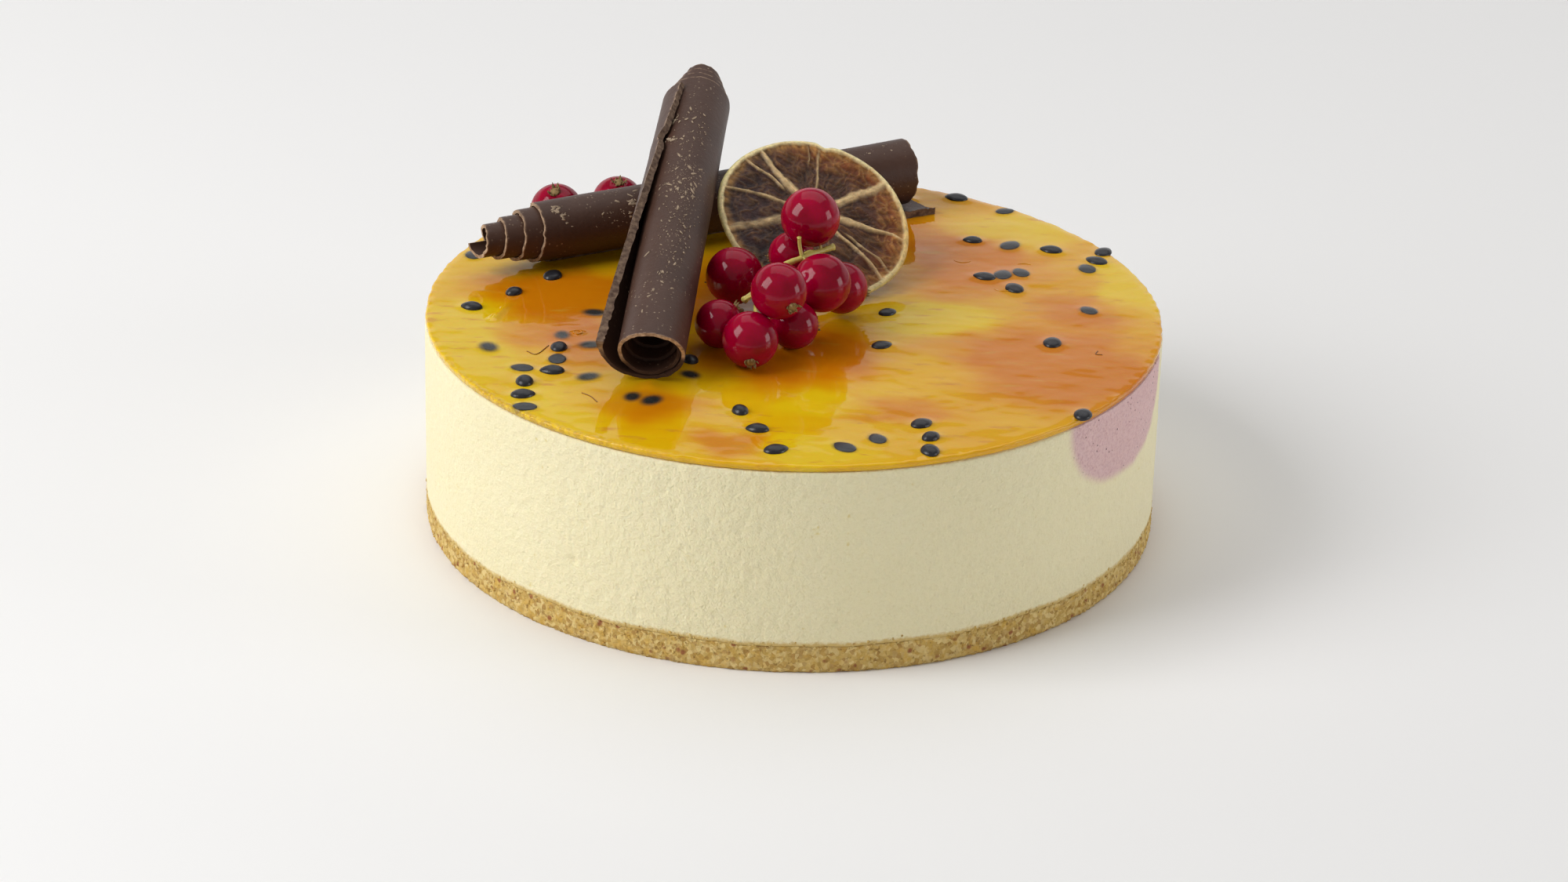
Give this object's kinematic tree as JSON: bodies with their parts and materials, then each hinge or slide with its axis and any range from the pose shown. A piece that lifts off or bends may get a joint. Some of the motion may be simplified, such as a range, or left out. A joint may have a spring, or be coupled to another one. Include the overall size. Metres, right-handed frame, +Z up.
{
  "type": "cheesecake",
  "caption": "Round cheesecake on a crumb base with passion fruit glaze and seeds, chocolate rolls, a dried lime slice and red currants.",
  "frame": {"origin": "centre of the flat underside of the crumb base", "axes": "+Z up, -Y towards the front of the cake, where the currants lie, +X to its right"},
  "size_m": [0.1598, 0.1597, 0.0798],
  "materials": {
    "crumb": "coarse golden biscuit crumb",
    "cream": "soft satin set cream with fine pores",
    "mousse": "soft satin pink mousse",
    "glaze": "wet, clear amber yellow gel with black seeds",
    "chocolate": "satin dark chocolate with light scuffs",
    "dried_lime": "dry cream rind with brown flesh",
    "currant": "glossy translucent red skin",
    "stalk": "matte yellow green stalk"
  },
  "bodies": {
    "root": {"biscuit_base": "crumb", "cheesecake": "cream", "raspberry_mousse": "mousse", "passionfruit_glaze": "glaze", "chocolate_roll_back": "chocolate", "chocolate_roll_front": "chocolate", "dried_lime_slice": "dried_lime", "currant_stem": "stalk", "currant_top": "currant", "currant_behind": "currant", "currant_left": "currant", "currant_middle": "currant", "currant_right": "currant", "currant_far_right": "currant", "currant_low_left": "currant", "currant_low_front": "currant", "currant_low_right": "currant", "currant_back_left": "currant", "currant_back_right": "currant"}
  },
  "joints": []
}
